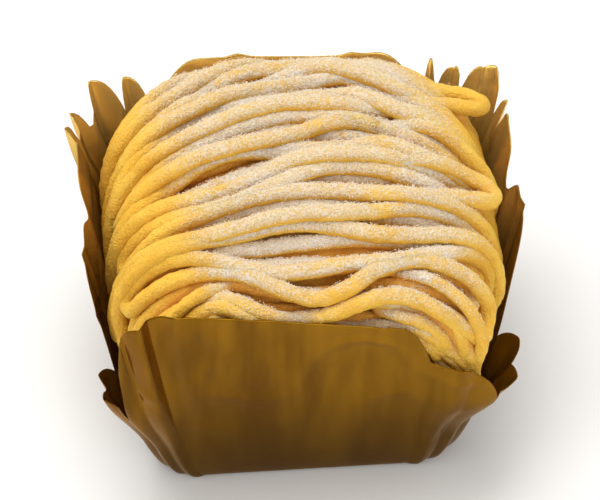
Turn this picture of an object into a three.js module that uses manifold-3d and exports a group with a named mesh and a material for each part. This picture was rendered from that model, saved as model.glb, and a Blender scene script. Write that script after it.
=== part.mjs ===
// A mont blanc cake: a sponge block under a domed heap of piped chestnut cream strands,
// standing in its own gold film case with pleated corners.
// Millimetres, +Z up, the origin at the middle of the case's foot, and -Y is the front.
import * as THREE from "three";
import { mergeVertices } from "three/addons/utils/BufferGeometryUtils.js";
import Module from "manifold-3d";

const wasm = await Module();
wasm.setup();

const { lerp, smoothstep, degToRad, seededRandom } = THREE.MathUtils;

// Film case. Its sides go round from the front, counter-clockwise from above, and a side's corner
// is the one at its far end.
const FOOT = { halfWidth: 25.5, halfDepth: 25, corners: [9, 8, 8, 7] };
const MOUTH = { halfWidth: 37.5, halfDepth: 32.5, corners: [17, 12, 13, 10] };
const PANEL_HEIGHT = 45;
const FLARE_POWER = 0.65; // under 1, so that the wall opens fastest near the foot
const FILM = 0.5;
const PLEATS = 4; // in each corner
const PLEAT = { depth: 1.9, atFoot: 0.3 };
const GAP = 0.3; // left between pieces that touch
const SPLAY_USED = 0.6; // by strands, of what a corner's splay leaves them

// Each panel ends in a wide tab, whose shoulders round off from a share of half the panel on. Some
// tabs have a notch in the middle.
const PANELS = [
  { height: 0.995, tilt: -0.1, shoulder: 0.75, notch: 0, crease: 0 },
  { height: 0.98, tilt: 0.03, shoulder: 0.62, notch: 5, crease: 0.8 },
  { height: 1, tilt: 0.02, shoulder: 0.62, notch: 0, crease: 0 },
  { height: 0.99, tilt: -0.03, shoulder: 0.62, notch: 3, crease: 0.6 },
];
const NOTCH_WIDTH = 0.15; // as a share of half a panel

// Each corner's folds end at one height, and between them its petals stand up: the place of a
// petal on the way round the corner, its half width there and its height over the folds. A
// corner's wall also splays outwards between two heights.
const CORNERS = [
  {
    fold: 18.5,
    splay: { depth: 5, from: 8, by: 24 },
    petals: [[0.1, 0.32, 13.5], [0.47, 0.14, 2.5], [0.67, 0.16, 2.5], [0.88, 0.16, 4.5]],
  },
  {
    fold: 34,
    splay: { depth: 2.4, from: 22, by: 36 },
    petals: [[0.13, 0.13, 5], [0.44, 0.19, 8], [0.74, 0.09, 6], [0.91, 0.07, 7]],
  },
  {
    fold: 34,
    splay: { depth: 2.4, from: 22, by: 36 },
    petals: [[0.12, 0.11, 6.5], [0.38, 0.14, 7.5], [0.66, 0.12, 5], [0.88, 0.11, 7]],
  },
  {
    fold: 22,
    splay: { depth: 3.5, from: 8, by: 26 },
    petals: [[0.13, 0.15, 4], [0.38, 0.15, 3], [0.9, 0.3, 26.5]],
  },
];

const WALL_LEVELS = [0.04, 0.15, 0.4, 0.7, 1]; // as shares of the rim's height
const ROOM_LEVELS = [FILM + GAP, 3, 8, 16, 26, 36, PANEL_HEIGHT, 75];

// Sponge block: the height of each level, and how far the block's side stands out there
const SPONGE = { halfWidth: 27.5, halfDepth: 25.5, corners: [10, 10, 10, 10] };
const SPONGE_LEVELS = [
  [0.8, -3.4],
  [4, -2.2],
  [12, -0.3],
  [30, 0],
  [32.2, -0.9],
  [33, -3],
];

// Dome that the strands lie on
const RIM_HEIGHT = 41.3;
const CROWN = 9.7;
const END = { flat: 17, turned: 38, angle: 98, reach: 30 };
const SIDE = { flat: 20.5, turned: 32.5, angle: 92, reach: 28 };
const CROWN_POWER = 2.5;
const SKIRT = { u: 39, v: 33.5 };
const FALL = { depth: 4.5, x: [6, 27], y: [0, 27] }; // of the dome at its back corners

// Core under the strands. Its plan is an ellipse where the power is 1, and squarer below that. The
// front's power is reached at a share of the way from the middle to the front.
const CORE = { around: 32, rounds: 7, bottom: 24, power: 0.42, front: { power: 0.8, at: 0.6 } };

// Chestnut cream strands
const STRAND_RADIUS = 1.45;
const SECTION_RADIUS = 1.52; // of its corners, so that its flat sides lie about as far out
const SINK = 0.7; // how deep a strand settles into what it lies on
const STRAND_SIDES = 6;
const RING_STEP = 5.5;
const UNDER = { count: 18, spread: 31, sway: 1.8, fan: 0.55 };
const UPPER = { count: 21, spread: 30.5, sway: 3, fan: 1 };
const LEAST_SWAY = 0.25; // as a share of the layer's
const CROWDING = 0.16; // of strands towards the dome's sides
const FLOW = { sway: 0.8, wave: 90, lag: 0.1 };
const LONG_WAVE = { shortest: 44, longest: 80 };
const SHORT_WAVE = { shortest: 20, longest: 34, share: 0.4 };
const HANG = { shortest: 35, longest: 45 };
const TURN = { nearest: 25, farthest: 30 };
const PLACE = { first: 0.3, last: 0.7 }; // of a strand within its share of the spread
const GATHERED_BY = 40;

// At each end strands draw together in bunches, and those behind the steady one come forward.
const LEFT_END = { bunch: -18, spacing: 26, pull: 0.4, drift: -18, steady: -25 };
const RIGHT_END = { bunch: -14, spacing: 24, pull: 0.35, drift: -17, steady: -12 };

// At both ends the front strands swoop down over the corners, more so the nearer the front.
const SWOOP = { depth: 9, u: [13, 36], front: [18, 29] };

const LOOP = { share: 0.75, narrowest: 2.5, stretch: 1.15, steps: 4 };
const HIGHEST = { middle: 5.3, end: 3.8, from: 20, by: 34 }; // of a strand's centre over the dome
const OWN_SHARE = 0.5; // of a point's own height, against the heights beside it
const SEED = 41;

// Strands that hang over the front corners, as places over the dome
const DRAPES = [
  [[-6, -30], [0, -31], [7, -31], [14, -31.5], [20, -33], [25, -35.5], [28, -38.5], [29, -42], [29, -46]],
  [[4, -25], [10, -25.5], [16, -26.5], [22, -28.5], [27, -32], [30, -36], [31, -40], [31.5, -44.5]],
  [[2, -31.5], [-4, -31], [-10, -31.5], [-16, -33], [-22, -35], [-26, -38], [-28, -42]],
  [[-8, -26.5], [-14, -27.5], [-20, -29], [-26, -32], [-30, -36], [-31.5, -41], [-29, -42], [-25, -37]],
];

// Strands laid last at the right-hand end, two of them loops: their places, and how far each is
// lifted there
const LAST_STRANDS = [
  [
    [13, 20.5, -4], [18, 20, -1], [22.5, 18.8, 1], [25.3, 17.6, 4],
    [26.2, 15.6, 5], [25, 13.8, 3.5], [22, 13.2, 0.5], [17.5, 13.2, -3],
  ],
  [
    [15, 6, -3], [20, 4.6, 0], [24.5, 2.8, 0.5],
    [28, 1, 1.5], [30, -0.8, 1.2], [32, -2.4, -0.5],
  ],
  [
    [14, -3.5, -3], [18.5, -3.8, 0], [23, -4.4, 1], [25.8, -5.8, 3],
    [26.2, -8, 3], [23.5, -9.6, 1], [18.5, -9.6, -3],
  ],
];

// Clean-up after the strands are joined
const SAME_POINT = 1e-4;
const SLACK = 0.08;
const SLIVER = 0.02;
const LEAST_TURNED = 0.7; // the cosine of the most that a face may turn

const smoother = (x) => smoothstep(x, 0, 1);

// A curve that starts level and turns down: its reach and its drop after each millimetre of length.
function turningProfile({ flat, turned, angle }, length = 70, step = 0.25) {
  const reach = [0];
  const drop = [0];
  for (let i = 0; i < length / step; i++) {
    const heading = degToRad(angle) * smoother(((i + 0.5) * step - flat) / (turned - flat));
    reach.push(reach[i] + Math.cos(heading) * step);
    drop.push(drop[i] + Math.sin(heading) * step);
  }
  const read = (list, s) => {
    const at = Math.min(Math.abs(s) / step, list.length - 2);
    const i = Math.floor(at);
    return lerp(list[i], list[i + 1], at - i);
  };
  return { reach: (s) => Math.sign(s) * read(reach, s), drop: (s) => read(drop, s) };
}

const along = turningProfile(END);
const across = turningProfile(SIDE);
const crownShare = (x, reach) => Math.max(0, 1 - Math.abs(x / reach) ** CROWN_POWER);

// The point of the dome at u along the strands and v across them, both measured over its surface.
function domePoint(u, v) {
  const x = along.reach(u);
  const y = across.reach(v);
  const crown = CROWN * crownShare(x, END.reach) * crownShare(y, SIDE.reach);
  const fall = FALL.depth * smoothstep(Math.abs(x), ...FALL.x) * smoothstep(y, ...FALL.y);
  return new THREE.Vector3(x, y, RIM_HEIGHT + crown - fall - along.drop(u) - across.drop(v));
}

function domeNormal(u, v, step = 0.5) {
  const du = domePoint(u + step, v).sub(domePoint(u - step, v));
  const dv = domePoint(u, v + step).sub(domePoint(u, v - step));
  return du.cross(dv).normalize();
}

const above = (u, v, height) => domePoint(u, v).addScaledVector(domeNormal(u, v), height);

// Solids: geometry to a manifold-3d solid and back
function solidOf(geometry) {
  const bare = geometry.clone();
  bare.deleteAttribute("normal");
  bare.deleteAttribute("uv");
  const merged = mergeVertices(bare, SAME_POINT);
  return new wasm.Manifold(
    new wasm.Mesh({
      numProp: 3,
      vertProperties: merged.attributes.position.array,
      triVerts: new Uint32Array(merged.index.array),
    }),
  );
}

function geometryOf(solid) {
  const { vertProperties, triVerts } = solid.getMesh();
  const geometry = new THREE.BufferGeometry();
  geometry.setAttribute("position", new THREE.BufferAttribute(vertProperties, 3));
  geometry.setIndex(new THREE.BufferAttribute(triVerts, 1));
  geometry.computeVertexNormals();
  return geometry;
}

// Joining strands that meet at a slant leaves slivers. This draws one end of an edge into the other
// wherever that moves the surface by less than the slack and turns no face away.
function withoutSlivers(geometry, slack) {
  const merged = mergeVertices(geometry, SAME_POINT);
  const { position } = merged.attributes;
  const points = Array.from({ length: position.count }, (_, i) =>
    new THREE.Vector3().fromBufferAttribute(position, i),
  );
  const faces = Array.from({ length: merged.index.count / 3 }, (_, i) =>
    Array.from(merged.index.array.slice(3 * i, 3 * i + 3)),
  );
  const facesAt = points.map(() => new Set());
  faces.forEach((face, id) => face.forEach((point) => facesAt[point].add(id)));

  const neighbours = (point) => {
    const found = new Set([...facesAt[point]].flatMap((id) => faces[id]));
    found.delete(point);
    return found;
  };
  const triangleOf = (face) => new THREE.Triangle(...face.map((point) => points[point]));
  const thickness = (triangle) => {
    const { a, b, c } = triangle;
    const longest = Math.max(a.distanceTo(b), b.distanceTo(c), c.distanceTo(a));
    return (2 * triangle.getArea()) / Math.max(longest, 1e-9);
  };
  const mayMove = (from, to) => {
    const shared = [...neighbours(from)].filter((point) => neighbours(to).has(point));
    if (shared.length !== 2) return false;
    if (points[from].distanceTo(points[to]) < SLIVER) return true;
    return [...facesAt[from]].every((id) => {
      const before = triangleOf(faces[id]);
      const thin = thickness(before) < SLIVER;
      const away = before.getPlane(new THREE.Plane()).distanceToPoint(points[to]);
      if (!thin && Math.abs(away) > slack) return false;
      if (faces[id].includes(to)) return true;
      const after = triangleOf(faces[id].map((point) => (point === from ? to : point)));
      if (thickness(after) < Math.min(SLIVER, thickness(before))) return false;
      const turned = before.getNormal(new THREE.Vector3()).dot(after.getNormal(new THREE.Vector3()));
      return thin || turned > LEAST_TURNED;
    });
  };
  const move = (from, to) => {
    for (const id of facesAt[from]) {
      if (faces[id].includes(to)) {
        faces[id].forEach((point) => point !== from && facesAt[point].delete(id));
        faces[id] = null;
      } else {
        faces[id] = faces[id].map((point) => (point === from ? to : point));
        facesAt[to].add(id);
      }
    }
    facesAt[from] = new Set();
  };

  for (let changed = true; changed; ) {
    changed = false;
    points.forEach((_, from) => {
      const nearest = [...neighbours(from)].sort(
        (a, b) => points[from].distanceTo(points[a]) - points[from].distanceTo(points[b]),
      );
      const to = nearest.find((point) => mayMove(from, point));
      if (to === undefined) return;
      move(from, to);
      changed = true;
    });
  }
  const cleaned = new THREE.BufferGeometry().setFromPoints(points);
  cleaned.setIndex(faces.filter((face) => face).flat());
  return cleaned.toNonIndexed();
}

// A closed surface through rings of points, each counter-clockwise from above, from the lowest up
// or up the outside of a cup and down its inside. A point at each end closes it.
function stackedRings(rings, first, end) {
  const count = rings[0].length;
  const points = [...rings.flat(), first, end];
  const last = (rings.length - 1) * count;
  const faces = [];
  for (let i = 0; i < count; i++) {
    const next = (i + 1) % count;
    for (let k = 0; k + 1 < rings.length; k++) {
      const [a, b] = [k * count + i, k * count + next];
      faces.push(a, b, b + count, a, b + count, a + count);
    }
    faces.push(points.length - 2, next, i);
    faces.push(points.length - 1, last + i, last + next);
  }
  const geometry = new THREE.BufferGeometry().setFromPoints(points);
  geometry.setIndex(faces);
  return geometry;
}

// Columns of the case: one round of its outline, with each corner's pleats in fixed places.
function outlineColumns(panelSteps = 12, pleatSteps = 2) {
  const columns = [];
  const cornerSteps = PLEATS * pleatSteps;
  for (let side = 0; side < 4; side++) {
    for (let i = 0; i < panelSteps; i++) {
      columns.push({ side, along: -Math.cos((Math.PI * i) / panelSteps), turn: 0 });
    }
    for (let i = 0; i < cornerSteps; i++) {
      columns.push({ side, along: 1, turn: i / cornerSteps });
    }
  }
  return columns;
}

// Where a column stands in plan, for a rectangle with those half sizes and corner radii. Returns
// the point and the way out of the outline there.
function outlinePoint({ side, along: share, turn }, { halfWidth, halfDepth, corners }) {
  const [run, reach] = side % 2 === 0 ? [halfWidth, halfDepth] : [halfDepth, halfWidth];
  const [before, corner] = [corners.at(side - 1), corners[side]];
  const start = lerp(before - run, run - corner, (share + 1) / 2);
  const angle = (turn * Math.PI) / 2;
  const out = new THREE.Vector2(Math.sin(angle), -Math.cos(angle));
  const point = new THREE.Vector2(start, corner - reach).addScaledVector(out, corner);
  const origin = new THREE.Vector2();
  const spin = (side * Math.PI) / 2;
  return { point: point.rotateAround(origin, spin), out: out.rotateAround(origin, spin) };
}

const sizeAt = (share) => ({
  halfWidth: lerp(FOOT.halfWidth, MOUTH.halfWidth, share),
  halfDepth: lerp(FOOT.halfDepth, MOUTH.halfDepth, share),
  corners: FOOT.corners.map((corner, side) => lerp(corner, MOUTH.corners[side], share)),
});

const openingAt = (z) => Math.max(0, z / PANEL_HEIGHT) ** FLARE_POWER;

const allCorners = [...FOOT.corners, ...MOUTH.corners];
const MEAN_CORNER = allCorners.reduce((sum, corner) => sum + corner, 0) / allCorners.length;

// How far a corner's wall stands out on its way across a pleat, from 0 in the folds to 1.
const pleatShare = ({ turn }) => 1 - Math.abs(2 * ((turn * PLEATS) % 1) - 1);

function notchShare({ along: share, turn }) {
  return turn === 0 ? Math.exp(-((share / NOTCH_WIDTH) ** 2)) : 0;
}

// The case's wall at height z, moved inwards by inset.
function wallPoint(column, z, inset = 0) {
  const { point, out } = outlinePoint(column, sizeAt(openingAt(z)));
  const rise = smoothstep(z, 0, PANEL_HEIGHT);
  const pleat = PLEAT.depth * pleatShare(column) * lerp(PLEAT.atFoot, 1, rise);
  const crease = PANELS[column.side].crease * notchShare(column) * rise;
  const splay = splayAt(CORNERS[column.side].splay, z, column.turn);
  point.addScaledVector(out, pleat + splay - crease - inset);
  return new THREE.Vector3(point.x, point.y, z);
}

function cornerRim({ fold, petals }, turn) {
  const away = (place, half) => Math.abs(turn - place) / half;
  const rises = petals.map(([place, half, height]) => height * (1 - away(place, half) ** 3));
  return fold + Math.max(0, ...rises);
}

function rimHeight({ side, along: share, turn }) {
  if (turn > 0) return cornerRim(CORNERS[side], turn);
  const { height, tilt, shoulder, notch } = PANELS[side];
  const edge = Math.max(0, (Math.abs(share) - shoulder) / (1 - shoulder));
  const rise = 1 - edge * edge;
  const top = PANEL_HEIGHT * (height + tilt * share) - notch * notchShare({ along: share, turn });
  const end = share > 0 ? cornerRim(CORNERS[side], 0) : cornerRim(CORNERS.at(side - 1), 1);
  return lerp(end, top, rise);
}

function filmCase() {
  const columns = outlineColumns();
  const wall = (inset) =>
    WALL_LEVELS.map((share) => columns.map((c) => wallPoint(c, rimHeight(c) * share, inset)));
  const outside = [columns.map((c) => wallPoint(c, 0)), ...wall(0)];
  const inside = [columns.map((c) => wallPoint(c, FILM, FILM)), ...wall(FILM).slice(1)];
  const rings = [...outside, ...inside.reverse()];
  return stackedRings(rings, new THREE.Vector3(0, 0, 0), new THREE.Vector3(0, 0, FILM));
}

// Everything that the film leaves room for, clear of it by the gap, and open above its rim.
function roomInCase() {
  const columns = outlineColumns();
  const rings = ROOM_LEVELS.map((z) => columns.map((c) => wallPoint(c, z, FILM + GAP)));
  const [low, high] = [ROOM_LEVELS[0], ROOM_LEVELS.at(-1)].map((z) => new THREE.Vector3(0, 0, z));
  return solidOf(stackedRings(rings, low, high));
}

function spongeSolid(grow = 0) {
  const columns = outlineColumns(4, 1);
  const rings = SPONGE_LEVELS.map(([z, swell], i) => {
    const lift = i + 1 === SPONGE_LEVELS.length ? grow : 0;
    return columns.map((c) => {
      const { point, out } = outlinePoint(c, SPONGE);
      point.addScaledVector(out, swell + grow);
      return new THREE.Vector3(point.x, point.y, z + lift);
    });
  });
  const [low, high] = [rings[0][0].z, rings.at(-1)[0].z].map((z) => new THREE.Vector3(0, 0, z));
  return solidOf(stackedRings(rings, low, high));
}

const endShare = (u) => smoothstep(Math.abs(u), 0, GATHERED_BY);

// How far what lies towards the back comes forward at either end.
function slide(u, v, fan) {
  const { drift, steady } = u < 0 ? LEFT_END : RIGHT_END;
  return fan * drift * endShare(u) * Math.max(0, (v - steady) / (SKIRT.v - steady));
}

// The heap's core: rings over the dome, from its skirt in to its crest.
function heapCore() {
  const rings = [];
  for (let k = 0; k < CORE.rounds; k++) {
    const share = 1 - k / CORE.rounds;
    const ring = [];
    for (let i = 0; i < CORE.around; i++) {
      const angle = (2 * Math.PI * i) / CORE.around;
      const frontShare = smoothstep(-Math.sin(angle), 0, CORE.front.at);
      const power = lerp(CORE.power, CORE.front.power, frontShare);
      const bend = (value) => Math.sign(value) * Math.abs(value) ** power;
      const u = SKIRT.u * share * bend(Math.cos(angle));
      const v = SKIRT.v * share * bend(Math.sin(angle));
      ring.push(domePoint(u, v + slide(u, v, UNDER.fan)));
    }
    rings.push(ring);
  }
  return solidOf(stackedRings(rings, new THREE.Vector3(0, 0, CORE.bottom), domePoint(0, 0)));
}

// Strand routes
const between = (low, high) => lerp(low, high, seededRandom());

// Towards each end strands come forward and draw together in bunches.
function gathered(u, v, fan) {
  const { bunch, spacing, pull } = u < 0 ? LEFT_END : RIGHT_END;
  const draw = ((pull * spacing) / (2 * Math.PI)) * Math.sin((2 * Math.PI * (v - bunch)) / spacing);
  const swoop = SWOOP.depth * smoothstep(Math.abs(u), ...SWOOP.u) * smoothstep(-v, ...SWOOP.front);
  return v + slide(u, v, fan) - draw * endShare(u) - swoop;
}

function strandCourse(start, { sway, fan }) {
  const size = lerp(LEAST_SWAY, 1, seededRandom() ** 3) * sway;
  const lengths = [LONG_WAVE, SHORT_WAVE].map(({ shortest, longest }) => between(shortest, longest));
  const phases = lengths.map(() => between(0, 2 * Math.PI));
  return (u) => {
    const flow = FLOW.sway * Math.sin((2 * Math.PI * u) / FLOW.wave + FLOW.lag * start);
    const [long, short] = lengths.map((length, i) => Math.sin((2 * Math.PI * u) / length + phases[i]));
    return gathered(u, start + flow + size * (long + SHORT_WAVE.share * short), fan);
  };
}

function passAlong(course, from, to) {
  const steps = Math.round(Math.abs(to - from) / RING_STEP);
  return Array.from({ length: steps + 1 }, (_, i) => {
    const u = lerp(from, to, i / steps);
    return [u, course(u)];
  });
}

// The loop at the end of a pass that brings the strand back as its own neighbour.
function turnBack(u, v, nextV, heading) {
  const radius = (nextV - v) / 2;
  return Array.from({ length: LOOP.steps - 1 }, (_, i) => {
    const angle = (Math.PI * (i + 1)) / LOOP.steps;
    const reach = LOOP.stretch * Math.abs(radius) * Math.sin(angle);
    return [u + heading * reach, v + radius * (1 - Math.cos(angle))];
  });
}

// The strands of one layer, front to back, piped to and fro from left to right. At the end of a
// pass a strand either turns back to make the next one or hangs down there.
function layerRoutes(layer) {
  const { count, spread } = layer;
  const courses = Array.from({ length: count }, (_, i) => {
    const place = lerp(-1, 1, (i + between(PLACE.first, PLACE.last)) / count);
    return strandCourse(spread * place * (1 + CROWDING * (1 - place ** 2)), layer);
  });
  const hang = () => between(HANG.shortest, HANG.longest);
  const routes = [];
  let route = [];
  let heading = 1;
  let from = -hang();
  courses.forEach((course, i) => {
    const turn = heading * between(TURN.nearest, TURN.farthest);
    const next = courses[i + 1];
    const room = next ? next(turn) - course(turn) : 0;
    const turns = room > LOOP.narrowest && seededRandom() < LOOP.share;
    const to = turns ? turn : heading * hang();
    route.push(...passAlong(course, from, to));
    if (turns) {
      route.push(...turnBack(to, course(to), next(to), heading));
      from = to;
    } else {
      routes.push(route);
      route = [];
      from = heading * hang();
    }
    heading = -heading;
  });
  return routes;
}

// Strands are laid one after another. A grid over the dome keeps how high the heap stands so far.
const CELL = 0.5;
const GRID = { u: 60, v: 52 };
const STRIDE = Math.round((2 * GRID.v) / CELL) + 1;

function nearCells(u, v, visit) {
  const reach = Math.ceil(STRAND_RADIUS / CELL);
  const ci = Math.round((u + GRID.u) / CELL);
  const cj = Math.round((v + GRID.v) / CELL);
  for (let i = ci - reach; i <= ci + reach; i++) {
    for (let j = cj - reach; j <= cj + reach; j++) {
      const away = Math.hypot(i * CELL - GRID.u - u, j * CELL - GRID.v - v);
      if (away < STRAND_RADIUS) visit(i * STRIDE + j, Math.sqrt(STRAND_RADIUS ** 2 - away ** 2));
    }
  }
}

// The index of the case's corner that a point is nearest to.
function cornerAt({ x, y }) {
  if (y < 0) return x < 0 ? 3 : 0;
  return x < 0 ? 2 : 1;
}

const splayAt = ({ depth, from, by }, z, turn) => depth * smoothstep(z, from, by) * Math.sin(Math.PI * turn);

// The centre of a strand, moved in wherever it would stand through the case's wall.
function keptInside(centre) {
  const { halfWidth, halfDepth } = sizeAt(openingAt(centre.z));
  const clear = FILM + GAP + STRAND_RADIUS + MEAN_CORNER;
  const past = new THREE.Vector2(
    Math.max(0, Math.abs(centre.x) - (halfWidth - clear)),
    Math.max(0, Math.abs(centre.y) - (halfDepth - clear)),
  );
  const spare = splayAt(CORNERS[cornerAt(centre)].splay, centre.z, past.angle() / (Math.PI / 2));
  const excess = Math.max(0, past.length() - MEAN_CORNER - SPLAY_USED * spare);
  const back = past.setLength(excess);
  return centre.sub(new THREE.Vector3(Math.sign(centre.x) * back.x, Math.sign(centre.y) * back.y, 0));
}

function layStrand(route, heap) {
  const rest = route.map(([u, v]) => {
    const atEnd = smoothstep(Math.abs(u), HIGHEST.from, HIGHEST.by);
    let height = STRAND_RADIUS;
    nearCells(u, v, (cell, bulge) => {
      height = Math.max(height, heap[cell] + bulge);
    });
    return Math.min(height - SINK, lerp(HIGHEST.middle, HIGHEST.end, atEnd));
  });
  const eased = rest.map((height, i) => {
    const before = rest[Math.max(0, i - 1)];
    const after = rest[Math.min(rest.length - 1, i + 1)];
    const [, , lift = 0] = route[i];
    return lerp((before + after) / 2, height, OWN_SHARE) + lift;
  });
  route.forEach(([u, v], i) => {
    const [nextU, nextV] = route[Math.min(i + 1, route.length - 1)];
    const nextHeight = eased[Math.min(i + 1, route.length - 1)];
    const steps = Math.max(1, Math.ceil(Math.hypot(nextU - u, nextV - v) / CELL));
    for (let k = 0; k < steps; k++) {
      const share = k / steps;
      const centre = lerp(eased[i], nextHeight, share);
      nearCells(lerp(u, nextU, share), lerp(v, nextV, share), (cell, bulge) => {
        heap[cell] = Math.max(heap[cell], centre + bulge);
      });
    }
  });
  return route.map(([u, v], i) => keptInside(above(u, v, eased[i])));
}

// A curve whose rings stand at its own points.
class PointedCurve extends THREE.CatmullRomCurve3 {
  getPointAt(t, target) {
    return this.getPoint(t, target);
  }
  getTangentAt(t, target) {
    return this.getTangent(t, target);
  }
}

function strandGeometry(points) {
  const section = new THREE.Shape(
    Array.from({ length: STRAND_SIDES }, (_, i) => {
      const angle = (2 * Math.PI * i) / STRAND_SIDES;
      return new THREE.Vector2(Math.cos(angle), Math.sin(angle)).multiplyScalar(SECTION_RADIUS);
    }),
  );
  return new THREE.ExtrudeGeometry(section, {
    steps: points.length - 1,
    extrudePath: new PointedCurve(points),
    bevelEnabled: false,
  });
}

function strandHeap() {
  seededRandom(SEED);
  const heap = new Float32Array(STRIDE * (Math.round((2 * GRID.u) / CELL) + 1));
  const layers = [layerRoutes(UNDER), layerRoutes(UPPER)];
  const routes = [...layers[0], ...DRAPES, ...layers[1], ...LAST_STRANDS];
  const strands = routes.map((route) => solidOf(strandGeometry(layStrand(route, heap))));
  const whole = strands.reduce((sum, strand) => sum.add(strand), heapCore());
  return whole.subtract(spongeSolid(GAP)).intersect(roomInCase());
}

function largestBody(solid) {
  return solid.decompose().reduce((a, b) => (b.volume() > a.volume() ? b : a));
}

function piece(name, geometry, colour, roughness, metalness = 0) {
  const material = new THREE.MeshStandardMaterial({ color: colour, roughness, metalness });
  const mesh = new THREE.Mesh(geometry, material);
  mesh.name = name;
  return mesh;
}

const cake = new THREE.Group();
cake.name = "mont_blanc_cake";
cake.add(
  piece("film_case", filmCase(), 0x9a6d24, 0.35, 0.3),
  piece("sponge", geometryOf(spongeSolid()), 0xe2b45c, 0.9),
  piece("chestnut_cream", withoutSlivers(geometryOf(largestBody(strandHeap())), SLACK), 0xe8be62, 0.75),
);

export default cake;
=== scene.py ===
"""A mont blanc cake: piped chestnut cream strands dusted with powdered sugar, over a sponge block
that stands in a pleated case of gold film.

Lengths are millimetres up to the point where a mesh is made, which turns them into metres.
Materials and the stage are in metres from the start.
The dome, the strands' routes and the case's outline repeat the CAD's named values and rules.
"""

import math

import bpy
import numpy as np
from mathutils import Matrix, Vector, noise


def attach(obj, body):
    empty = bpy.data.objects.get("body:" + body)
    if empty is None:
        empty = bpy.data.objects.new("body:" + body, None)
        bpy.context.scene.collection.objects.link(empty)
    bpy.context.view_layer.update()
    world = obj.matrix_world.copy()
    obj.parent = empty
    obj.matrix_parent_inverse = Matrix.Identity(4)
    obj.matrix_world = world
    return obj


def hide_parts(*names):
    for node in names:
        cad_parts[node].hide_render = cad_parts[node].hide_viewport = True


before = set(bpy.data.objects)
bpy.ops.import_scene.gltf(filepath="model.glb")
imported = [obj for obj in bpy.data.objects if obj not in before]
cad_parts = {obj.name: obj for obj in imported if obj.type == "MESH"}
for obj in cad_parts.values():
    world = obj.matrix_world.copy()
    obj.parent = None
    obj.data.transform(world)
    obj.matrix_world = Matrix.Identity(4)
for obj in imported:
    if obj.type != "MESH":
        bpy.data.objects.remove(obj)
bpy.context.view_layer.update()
MM = 0.001

# Film case, as in the CAD
# Sides run front, right, back, left, and each one's corner is at its right-hand end.
FOOT = {"half_width": 25.5, "half_depth": 25.0, "corners": (9.0, 8.0, 8.0, 7.0)}
MOUTH = {"half_width": 37.5, "half_depth": 32.5, "corners": (17.0, 12.0, 13.0, 10.0)}
PANEL_HEIGHT = 45.0
FLARE_POWER = 0.65  # under 1, so that the wall opens fastest near the foot
PLEATS = 4  # in each corner
PLEAT_DEPTH = 1.9
PLEAT_AT_FOOT = 0.3  # as a share of its depth
CAD_FILM = 0.5
GAP = 0.3  # left between pieces that touch
SPLAY_USED = 0.6  # by strands, of what a corner's splay leaves them

# Each panel ends in a wide tab, whose shoulders round off from a share of half the panel on. Some
# tabs have a notch in the middle.
PANELS = (
    {"height": 0.995, "tilt": -0.1, "shoulder": 0.75, "notch": 0.0, "crease": 0.0},
    {"height": 0.98, "tilt": 0.03, "shoulder": 0.62, "notch": 5.0, "crease": 0.8},
    {"height": 1.0, "tilt": 0.02, "shoulder": 0.62, "notch": 0.0, "crease": 0.0},
    {"height": 0.99, "tilt": -0.03, "shoulder": 0.62, "notch": 3.0, "crease": 0.6},
)
NOTCH_WIDTH = 0.15  # as a share of half a panel

# Each corner's folds end at one height, and between them its petals stand up: the place of a
# petal on the way round the corner, its half width there and its height over the folds. A
# corner's wall also splays outwards between two heights.
CORNERS = (
    {
        "fold": 18.5,
        "splay": {"depth": 5.0, "from": 8.0, "by": 24.0},
        "petals": ((0.1, 0.32, 13.5), (0.47, 0.14, 2.5), (0.67, 0.16, 2.5), (0.88, 0.16, 4.5)),
    },
    {
        "fold": 34.0,
        "splay": {"depth": 2.4, "from": 22.0, "by": 36.0},
        "petals": ((0.13, 0.13, 5.0), (0.44, 0.19, 8.0), (0.74, 0.09, 6.0), (0.91, 0.07, 7.0)),
    },
    {
        "fold": 34.0,
        "splay": {"depth": 2.4, "from": 22.0, "by": 36.0},
        "petals": ((0.12, 0.11, 6.5), (0.38, 0.14, 7.5), (0.66, 0.12, 5.0), (0.88, 0.11, 7.0)),
    },
    {
        "fold": 22.0,
        "splay": {"depth": 3.5, "from": 8.0, "by": 26.0},
        "petals": ((0.13, 0.15, 4.0), (0.38, 0.15, 3.0), (0.9, 0.3, 26.5)),
    },
)

# Film as Blender makes it
FILM = 0.14
FILM_STEPS = {"panel_steps": 60, "pleat_steps": 13}
FILM_ROWS, FIRST_ROW = 76, 0.02  # the first one as a share of the wall's height
ROW_POWER = 1.15  # above 1, rows are closer together near the foot
FLOOR_ROWS = (0.25, 0.5, 0.75, 0.93)  # as shares of the foot's outline
PLEAT_ROUNDING = 0.15  # of the pleats' crests, from 0 for plain folds to 1
PLEAT_LEAN = 0.3  # how far a pleat's crest leans over its fold, as a share of its width
FOLDS = (  # lines that a panel is creased along: side, place across it, height, width
    (0, -0.8, 0.8, 0.1),
    (0, -0.3, 0.25, 0.07),
    (0, 0.6, 0.35, 0.06),
    (1, -0.5, 0.6, 0.1),
    (2, -0.45, 0.7, 0.08),
    (2, 0.35, 0.9, 0.1),
    (3, 0.55, 0.5, 0.1),
)
WAVES = {"mean": 0.15, "depth": 0.45, "size": 14.0, "shift": (3, 1, 7)}  # soft, all over the film
RIDGES = {"height": 0.35, "sharpness": 7.0, "size": 17.0, "shift": (9, 2, 4)}  # thin and sharp

# Sponge block, as in the CAD
SPONGE_TOP = 33.0
SPONGE = {"half_width": 27.5, "half_depth": 25.5, "corners": (10.0, 10.0, 10.0, 10.0)}

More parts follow.
